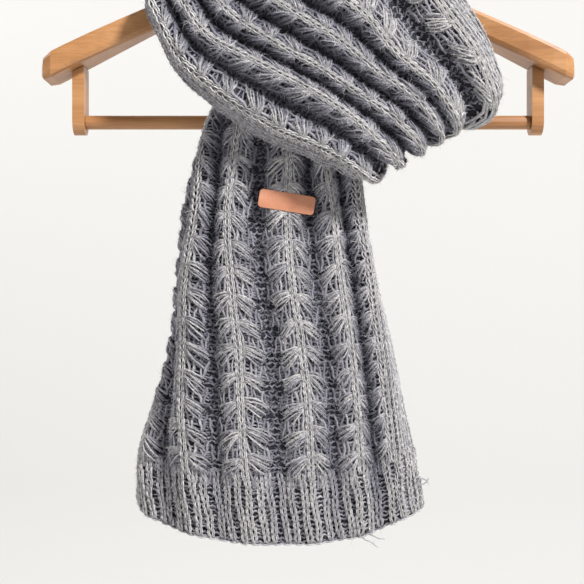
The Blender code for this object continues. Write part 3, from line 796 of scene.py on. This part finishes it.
def chains(strands, stretch, fine):
    """The column of stitches that runs along each crest."""
    feet = repeats(stretch, STITCH)
    for crest in CRESTS:
        stitch_legs(strands, feet, crest, 0.0, CHAIN[fine], PLIES[fine])


def cores(strands, stretch):
    """A loose strand under each chain, which shows between its legs."""
    place = whole_way(stretch, CORE_STEP)
    for crest in CRESTS:
        across = 0.7 * wavy(place * 2 * math.pi / STITCH, 1)
        tone = CORE.tone + jitter(0.1, place.shape)
        strands.lay_beside(place, crest, across, CORE.puff, CORE.rise, CORE.yarn, tone)


def plain_columns(strands, stretch):
    """Plain stitches outside the outer ribs, and curved bars beside the front tail's first rib."""
    feet = repeats(stretch, STITCH)
    for crest, side in EDGES:
        room = cloth.half_gap(feet, crest, side)
        nearest = 0.0
        if side < 0 and stretch.name == "tail_front":
            outer_bars(strands, stretch, crest, side)
            nearest = OUTER_REACH - OUTER_OVERLAP
        for aside in PLAIN_COLUMNS:
            fits = feet[(room > aside + 1) & (aside > nearest * room)]
            stitch_legs(strands, fits, crest, side * aside, PLAIN)


def outer_bars(strands, stretch, crest, side):
    """Curved bars from the first chain round to the strip's own edge."""
    rows = repeats(stretch, OUTER_ROW)[:, None]
    one = rows.shape
    v = np.linspace(0, 1, 10)
    across = side * blend(OUTER_START, OUTER_REACH * cloth.half_gap(rows, crest, side), v)
    for offset, kind in OUTER_BARS:
        place = rows + offset - 2.5 * np.sin(math.pi * v * 0.7) + jitter(0.5, one)
        place = place + 0.5 * wavy(9 * v, one)
        rise = 0.3 * np.sin(14 * v) + kind.rise
        radius = kind.yarn * (1 + jitter(0.15, one))
        tone = kind.tone + jitter(0.1, one)
        strands.lay_beside(place, crest, across, kind.puff, rise, radius, tone)


def selvedges(strands, stretch):
    """A column of stitches along each edge of the strip."""
    feet = repeats(stretch, STITCH)
    for crest, side in EDGES:
        edge = side * (cloth.half_gap(feet, crest, side)[:, None] - SELVEDGE_INSET)
        stitch_legs(strands, feet, crest, edge, SELVEDGE)


def fan_roots(stretch):
    return repeats(stretch, FAN_PITCH) + 0.75 * FAN_PITCH


# the fans along one side of a rib: each array has a row for each of them
Fans = namedtuple("Fans", "crest side root reach drop puff ease shade")


def fans(strands, stretch, fine):
    """Loose strands that spread from the chain to the valley, one fan a repeat and side."""
    roots = fan_roots(stretch)[:, None]
    one = roots.shape
    ease = cloth.ease(roots)
    count = 2 * FAN_STRANDS - 1 if fine else FAN_STRANDS
    for crest, side in FAN_SIDES:
        root = roots + FAN_SWAY[0] * wavy(roots / FAN_SWAY[1], 1) + jitter(1.2, one)
        room = cloth.half_gap(roots, crest, side)
        reach = cloth.fan_reach(room) * dice.uniform(*FAN_OWN_REACH, one)
        drop = dice.uniform(*FAN_OWN_DROP, one)
        puff = 1 + dice.uniform(*FAN_OWN_PUFF, one) * ease
        if crest < 2 and side < 0:
            puff = puff - FIRST_FLATTER
        # painted shade: the fans below a rib are darker on the front band
        shade = IN_FRONT.get(stretch.name, BEHIND).lee if side > 0 else 0
        row = Fans(crest, side, root, reach, drop, puff, ease, shade)
        for number in range(count):
            fan_strand(strands, row, number / (count - 1), fine, fine and number % 2 == 1)


def fan_strand(strands, row, share, fine, below):
    """One strand of each fan in a row; the ones between the upper strands lie below them."""
    one = row.root.shape
    v = np.linspace(0, 1, UNDER_POINTS if below else FAN_POINTS[fine])
    arch = np.sin(math.pi * v)
    u = share + jitter(0.05, one)
    begin = row.root + blend(*FAN_ROOT, u)
    finish = row.root - blend(*FAN_DROP, u) * row.drop + jitter(1.3, one)
    far = row.reach * (1 - 0.16 * u**2) + jitter(1.8, one)
    bow = jitter(0.9, one) * arch + jitter(0.7, one) * np.sin(2 * math.pi * v)
    place = blend(begin, finish, v ** (2.3 - 1.3 * u)) + bow
    aside = row.side * blend(FAN_START, far, v)
    rise = (FAN_ARCH * arch**0.7 + jitter(0.7, one) * arch) * row.ease
    rise = rise - 1.3 * (1 - v) ** 2 - 0.4 - FAN_UNDER * below
    # painted shade on the strands that lie below, a painted highlight where a strand arches up, and
    # the painted shade of the fans below a rib
    tone = UNDER_SHADE_TONE if below else blend(*FAN_TONE, v**2)
    tone = tone + 0.1 * arch + jitter(0.2, one) - row.shade
    twist = 2 * math.pi * v * dice.uniform(*FAN_TURNS, one) + jitter(3, one)
    for ply in (-1, 1) if fine and not below else (0,):
        along, upward = ply * FAN_TWIST * np.cos(twist), ply * FAN_TWIST * np.sin(twist)
        radius = (FAN_PLY if ply else FAN_SINGLE) * (1 + jitter(0.15, one)) * (1 - 0.14 * v**3)
        strands.lay_beside(place + along, row.crest, aside, row.puff, rise + upward, radius, tone)


def under_fan(root, aside):
    """Where the open part under a fan begins and ends, at some millimetres from the crest."""
    begin = root - OPEN_FROM[0] - OPEN_FROM[1] * aside
    return begin, root - FAN_PITCH - OPEN_TO[0] - OPEN_TO[1] * aside


def ladders(strands, stretch):
    """Upright loops and cross bars between one fan and the next, with dark holes in them."""
    roots = fan_roots(stretch)
    for crest, side in FAN_SIDES:
        room = cloth.half_gap(roots, crest, side)
        for number, aside in enumerate(LADDER_COLUMNS):
            lean = LADDER_LEAN * (-1) ** number
            upright(strands, roots[room > aside + 2][:, None], crest, side, aside, lean)
        across = blend(RUNG_START, RUNG_END * room[:, None], np.linspace(0, 1, 7))
        for share in LADDER_RUNGS:
            rung(strands, roots[:, None], crest, side, across, share)


def upright(strands, roots, crest, side, aside, lean):
    """One upright loop under each fan."""
    one = roots.shape
    v = np.linspace(0, 1, 6)
    top, bottom = under_fan(roots, aside)
    place = blend(top + 1.5, bottom - 1.0, v) + jitter(0.6, one)
    across = aside + jitter(0.7, one) + (lean + jitter(1.0, one)) * (v - 0.5) * 2
    across = across + 0.5 * wavy(2 * math.pi * v * 1.5, one)
    rise = jitter(0.5, one) * cloth.ease(roots)
    strands.lay_uneven(UPRIGHT, place, crest, side * across, rise, 0.16)


def rung(strands, roots, crest, side, across, share):
    """One cross bar under each fan."""
    one = roots.shape
    top, bottom = under_fan(roots, across)
    place = blend(top, bottom, share) + 0.6 * wavy(across * 1.2, one) + jitter(0.7, one)
    rise = 0.5 * wavy(across * 1.6, one)
    strands.lay_uneven(RUNG, place, crest, side * across, rise, 0.12)


def valley_rows(strands, stretch, fine):
    """Wavy rows across each valley, from under one rib's fans to under the next one's."""
    rows = repeats(stretch, PURL_ROW[fine])[:, None]
    one = rows.shape
    for valley in range(1, RIBS):
        start = cloth.read(cloth.width, rows, valley - 0.5)
        finish = cloth.read(cloth.width, rows, valley + 0.5)
        cover = cloth.fan_reach((finish - start) / 2) - PURL_OVERLAP
        low, high = start + cover, finish - cover
        points = int(np.clip((high - low).mean() / PURL_STEP, 5, 30))
        across = blend(low, high, np.linspace(0, 1, points))
        rib = valley - 0.5 + (across - start) / (finish - start)
        turn = 2 * math.pi * across / PURL_WAVE + jitter(3, one) + 0.9 * wavy(across / 6, one)
        place = rows + np.sin(turn) + jitter(0.8, one)
        top = np.cos(turn + 1)
        height = cloth.height(place, rib, PURL.puff) + PURL.rise + 0.9 * top + jitter(0.4, one)
        # painted light on the tops of the wavy rows, painted shade in their dips
        tone = PURL.tone + 0.12 * top + jitter(0.15, one)
        strands.lay(place, rib, height, PURL.yarn * (1 + jitter(0.3, one)), tone)


def valley_columns(strands, stretch):
    """Two loose wavy strands along the bottom of each valley."""
    place = whole_way(stretch, VALLEY_STEP)
    for valley in range(1, RIBS):
        for offset in VALLEY_COLUMNS:
            across = offset + 1.5 * wavy(place / 1.15, 1) + 0.8 * wavy(place / 4.1, 1)
            rise = 0.8 * wavy(place / 1.9, 1) + VALLEY.rise
            tone = VALLEY.tone + 0.14 * wavy(place / 3.3, 1)
            strands.lay_beside(place, valley, across, VALLEY.puff, rise, VALLEY.yarn, tone)


# ---------------------------------------------------------------- the hems
HEMS = {"tail_front": (0.0, 1), "tail_back": (cloth.length, -1)}  # place, and the way from it


def hem(strands, edge, away, fine):
    """Narrow ribs of two columns each, from the cast-on edge to the broad ribs."""
    feet = edge + away * STITCH * (np.arange(round(HEM_HEIGHT / STITCH)) + 0.35)
    for column in range(HEM_COLUMNS):
        share = (column + 0.5 + HEM_NEARER * (-1) ** column) / HEM_COLUMNS
        middle = cloth.rib_at(feet, share)[:, None]
        sway = 0.7 * wavy(feet / 7, 1) + jitter(0.25, feet.shape)
        stitch_legs(strands, feet, middle, sway[:, None], HEM[fine], PLIES[fine])
    rows = edge + away * HEM_ROW * (np.arange(round(HEM_HEIGHT / HEM_ROW)) + 0.5)
    one = (len(rows), 1)
    across = np.linspace(-HEM_GAP, HEM_GAP, 6)
    for number in range(1, HEM_COLUMNS):
        middle = cloth.rib_at(rows, number / HEM_COLUMNS)[:, None]
        place = rows[:, None] + jitter(0.7, one) + jitter(0.25, one) * across
        place = place + 0.8 * wavy(across * 1.4, one)
        aside = across + jitter(0.4, one)
        strands.lay_uneven(HEM_BARS[number % 2], place, middle, aside, jitter(0.4, one), 0.16)


def cast_on_edge(strands, edge, away):
    """The row of small loops that ends the cloth."""
    v = np.linspace(0, 1, 7)
    share = (np.arange(HEM_COLUMNS)[:, None] + v) / HEM_COLUMNS
    rib = cloth.rib_at(np.full(share.shape, math.floor(edge)), share)
    place = edge + away * (CAST_ON[0] - CAST_ON[1] * np.sin(math.pi * v))
    place = place + jitter(0.4, (HEM_COLUMNS, 1))
    place = place - away * HEM_WAVE * np.abs(np.sin(HEM_WAVES * math.pi * share))
    height = cloth.height(place, rib, 0) - 0.6 - 0.9 * np.cos(2 * math.pi * v)
    strands.lay(place, rib, height, CAST_ON_YARN, CAST_ON_TONE, sides=4)


def wisps(strands):
    """Loose ends of yarn that hang from the hem."""
    for up, share, way in WISPS:
        place = np.array([up])
        root, _ = cloth.lift(place, cloth.rib_at(place, share), np.array([WALL]), strands.face)
        knots = root + np.array(((0, 0, 0), *way), float)
        line = through(np.arange(len(knots)), knots, np.linspace(0, len(knots) - 1, WISP_POINTS))
        line = line + jitter(0.25, line.shape)
        outs = np.broadcast_to([0.0, -1.0, 0.0], line.shape)
        strands.add(line[None], outs[None], WISP_YARN, WISP_TONE)


# ---------------------------------------------------------------- hairs
def hair_roots(yarns, count):
    """Random places along the yarns, the ways along, beside and out of them, a tone and a turn."""
    spots = np.concatenate([spot for yarn in yarns for spot in yarn.spots])
    length = np.linalg.norm(spots[:, 6:9], axis=1)
    chosen = dice.choice(len(spots), count, p=length / length.sum())
    # each hair takes its yarn's tone, painted shade and light included
    centre, out, step, tone, fray = np.split(spots[chosen], (3, 6, 9, 10), axis=1)
    along = unit(step)
    beside = unit(np.cross(along, out))
    one = (count, 1)
    root = centre + step * jitter(0.5, one) + beside * jitter(0.5, one)
    root = root + out * dice.uniform(0.1, 0.6, one)
    turn = dice.normal(0, 1, one) * fray
    return root, along, beside, out, tone[:, 0], turn


def nap(name, yarns, count):
    """Short straight hairs that leave the yarn at a low angle."""
    root, along, beside, out, tone, turn = hair_roots(yarns, count)
    one = (count, 1)
    tilt = dice.uniform(-0.1, 0.95, one) ** 2
    flat = (np.cos(turn) * along + np.sin(turn) * beside) * dice.choice([-1.0, 1.0], one)
    ray = flat * np.cos(tilt) + out * np.sin(tilt)
    half = unit(np.cross(ray, out + beside * jitter(0.8, one))) * HAIR_WIDTH / 2
    tip = root + ray * dice.uniform(*NAP_LENGTH, one)
    points = np.stack([root - half, root + half, tip], axis=1)
    tones = tone * dice.uniform(0.8, 1.2, count) + NAP_LIGHT
    return hairs(name, points, tones, ((0, 1, 2),))


def halo(name, yarns, count):
    """Longer bent hairs that stand off the yarn."""
    root, along, beside, out, tone, _ = hair_roots(yarns, count)
    one = (count, 1)
    bearing = dice.uniform(0, 2 * math.pi, one)
    tilt = dice.uniform(0.1, 1.0, one)
    bend = jitter(0.25, one)
    reach = dice.uniform(*HALO_LENGTH, one)
    flat = np.cos(bearing) * along + np.sin(bearing) * beside
    sideways = unit(np.cross(out, flat))
    run, rise = flat * np.cos(tilt), out * np.sin(tilt)
    knee = root + reach * (0.5 * (run + rise) + sideways * bend * 0.6)
    tip = root + reach * (run + rise * 0.7 - sideways * bend)
    half = unit(sideways + out * jitter(0.8, one)) * HALO_WIDTH / 2
    points = np.stack([root - half, root + half, knee + half * 0.8, knee - half * 0.8, tip], axis=1)
    return hairs(name, points, tone + HALO_LIGHT, ((0, 1, 2), (0, 2, 3), (3, 2, 4)))


def hairs(name, points, tones, triangles):
    """One piece of many hairs: points is hair by corner by three, and the triangles join corners."""
    count, corners = points.shape[:2]
    points = clear_of_tag(points.reshape(-1, 3))
    index = np.arange(count * corners).reshape(count, corners)
    faces = np.concatenate([index[:, triangle] for triangle in triangles])
    tones = np.repeat(np.clip(tones, 0, 1), corners)
    return wool_piece(name, points, faces, [hair_look], tones, smooth=False)


# ---------------------------------------------------------------- knit the scarf
def knit(stretch):
    """One stretch: its chains, fans and other stitches, its hairs, and the ground under them."""
    name, fine = stretch.name, stretch.name in IN_FRONT
    start, end = cloth.ends[name]
    shows = IN_FRONT.get(name, BEHIND)
    crest, spread, under = yarns = [Strands(stretch, *each) for each in zip(FRAY, shows.dimming)]
    chains(crest, stretch, fine)
    if fine:
        cores(under, stretch)
    fans(spread, stretch, fine)
    valley_rows(under, stretch, fine)
    selvedges(under, stretch)
    if fine:
        ladders(under, stretch)
        valley_columns(under, stretch)
        plain_columns(under, stretch)
    if name in HEMS:
        hem(crest, *HEMS[name], fine)
        cast_on_edge(crest, *HEMS[name])
    if name == "tail_front":
        wisps(crest)
    endings = ("_chains", "_fans", "_stitches")
    pieces = [yarn.make(name + ending) for yarn, ending in zip(yarns, endings)]
    times = 1 if fine else end - start  # hairs behind are counted for each millimetre
    pieces.append(nap(name + "_nap", yarns, int(times * shows.nap)))
    pieces.append(halo(name + "_halo", yarns, int(times * shows.halo)))
    ground(stretch)


for each in STRETCHES:
    knit(each)


# ---------------------------------------------------------------- the tag
TAG_CORNER = 3.0
TAG_BEVEL = 0.4
TAG_ROUNDING = 0.12
TAG_BOW = 0.5  # the tag's ends lie this much further back than its middle
TAG_CREASE = math.radians(50)


def leather():
    look = Look("label_leather_grain", {"Roughness": 0.6})
    blotch = look.noise(55, 5)
    look.colour(look.ramp(blotch, (0.3, (0.555, 0.225, 0.125)), (0.7, (0.69, 0.315, 0.19))))
    where = look.node("TexCoord", "Object")
    grain = look.node("TexVoronoi", "Distance", {"Vector": where, "Scale": 1500})
    look.bump(grain, 0.35, 0.0004)
    return look.material


def tag_outline(inset, depth):
    """The tag's rounded outline in metres, bowed and tilted, at a depth in front of its back."""
    _, high, middle, width, height = tag_sizes()
    ring = []
    for corner, (right, up) in enumerate(((1, 1), (-1, 1), (-1, -1), (1, -1))):
        for turn in np.radians(90 * corner + np.arange(0, 91, 15)):
            x = right * (width / 2 - TAG_CORNER) + (TAG_CORNER - inset) * math.cos(turn)
            z = up * (height / 2 - TAG_CORNER) + (TAG_CORNER - inset) * math.sin(turn)
            y = high[1] - depth + TAG_BOW * ((x / (width / 2)) ** 2 - 0.5)
            x, z = turned(x, z, TAG_TILT)
            ring.append([c * MM for c in (middle[0] + x, y, middle[2] + z)])
    return ring


def label_tag():
    """A bare leather tag with rounded corners and softly worn edges."""
    low, high = tag_sizes()[:2]
    thick = high[1] - low[1]
    profile = (
        (0.0, 0.0),
        (0.0, thick - TAG_BEVEL),
        (TAG_ROUNDING, thick - TAG_ROUNDING),
        (TAG_BEVEL, thick),
    )
    data = ringed_mesh("label_tag", [tag_outline(*each) for each in profile], True)
    data.set_sharp_from_angle(angle=TAG_CREASE)
    data.materials.append(leather())
    tag = put("label_tag", data)
    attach(tag, "root")
    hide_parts("label")


label_tag()


# ---------------------------------------------------------------- the hanger
WOOD_STOPS = ((0.28, (0.30, 0.125, 0.04)), (0.5, (0.46, 0.215, 0.08)), (0.72, (0.58, 0.30, 0.125)))


def wood():
    """Satin varnish over long grain and fine streaks."""
    shader = {"Roughness": 0.42, "Coat Weight": 0.25, "Coat Roughness": 0.3}
    look = Look("hanger_wood_grain", shader)
    rings = look.ramp(look.noise(30, 5, 0.55, stretch=(0.16, 1.6, 1.6)), *WOOD_STOPS)
    fibre = look.noise(700, 3, stretch=(0.05, 1, 1))
    streak = look.ramp(fibre, (0.35, (0.55, 0.5, 0.45)), (0.6, 1.0))
    look.colour(look.multiply(rings, streak, 0.35))
    look.bump(fibre, 0.15, 0.0003)
    return look.material


def steel():
    look = Look("hook_wire_steel", {"Metallic": 1.0, "Roughness": 0.28})
    scuff = look.noise(900, 2, stretch=(1, 1, 0.2))
    look.colour(look.ramp(scuff, (0.3, (0.55, 0.55, 0.57)), (0.7, (0.72, 0.72, 0.74))))
    look.bump(scuff, 0.1, 0.0002)
    return look.material


def dress(node, look):
    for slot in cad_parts[node].material_slots:
        slot.material = look


wood_look, steel_look = wood(), steel()
for node in ("hanger_arms", "trouser_bar", "bar_bracket_left", "bar_bracket_right"):
    dress(node, wood_look)
dress("hook", steel_look)


# ---------------------------------------------------------------- the room
CAMERA_PLACE = (-0.0137, -0.910, -0.365)
CAMERA_HALF_FRAME = 292 / 1062.5  # half the frame's side over its distance
FLOOR_HEIGHT = -1.15
FLOOR_MIDDLE = 0.3  # radius of the floor's middle face
ROOM_MIDDLE = (0.0, -5.0)
ROOM_RADIUS = 6.5
ROOM_HEIGHT = 3.0
ROOM_CORNER = 0.35
ROOM_SIDES = 96
PAPER = {
    "Base Color": (0.52, 0.516, 0.508, 1),
    "Roughness": 0.95,
    "Emission Color": (1.0, 0.995, 0.98, 1),
    "Emission Strength": 0.23,
}
AIM = (0, 0, -0.3)
LAMPS = (  # name, place, size, watts and colour
    ("key", (1.4, -1.8, 1.65), 0.45, 132, (1.0, 0.985, 0.955)),
    ("fill", (-1.6, -1.6, -0.3), 1.0, 5, (1.0, 0.94, 0.87)),
    ("back", (-1.3, 0.75, 0.9), 0.6, 13, (1.0, 0.99, 0.97)),
)


def backdrop():
    """A pale round floor that curves up into a wall."""
    profile = [(FLOOR_MIDDLE, FLOOR_HEIGHT)]
    for turn in np.radians(np.arange(0, 91, 10)):
        out = ROOM_RADIUS - ROOM_CORNER + ROOM_CORNER * math.sin(turn)
        profile.append((out, FLOOR_HEIGHT + ROOM_CORNER * (1 - math.cos(turn))))
    profile.append((ROOM_RADIUS, ROOM_HEIGHT))
    turns = np.linspace(0, 2 * math.pi, ROOM_SIDES, endpoint=False)
    x, y = np.cos(turns), np.sin(turns)
    rings = [
        [(ROOM_MIDDLE[0] + out * x[k], ROOM_MIDDLE[1] + out * y[k], up) for k in range(ROOM_SIDES)]
        for out, up in profile
    ]
    data = ringed_mesh("backdrop", rings, False)
    data.materials.append(Look("backdrop_paper", PAPER).material)
    put("backdrop", data)


def lamp(name, place, size, watts, colour):
    """A round lamp that is turned to the scarf."""
    light = bpy.data.lights.new(name, "AREA")
    light.shape, light.size, light.energy, light.color = "DISK", size, watts, colour
    thing = put(name, light)
    thing.location = place
    away = np.array(AIM) - np.array(place)
    yaw = math.atan2(away[1], away[0]) - math.pi / 2
    pitch = math.atan2(away[2], math.hypot(away[0], away[1])) + math.pi / 2
    thing.rotation_euler = (pitch, 0, yaw)


backdrop()
for each in LAMPS:
    lamp(*each)

world = bpy.data.worlds.new("room")
world.use_nodes = True
sky = world.node_tree.nodes["Background"].inputs
sky["Color"].default_value = (0.95, 0.97, 1.0, 1)
sky["Strength"].default_value = 0.2
bpy.context.scene.world = world
bpy.context.scene.view_settings.view_transform = "Standard"

camera = bpy.data.cameras.new("camera")
camera.angle = 2 * math.atan(CAMERA_HALF_FRAME)
viewer = put("camera", camera)
viewer.location = CAMERA_PLACE
viewer.rotation_euler = (math.pi / 2, 0, 0)
bpy.context.scene.camera = viewer
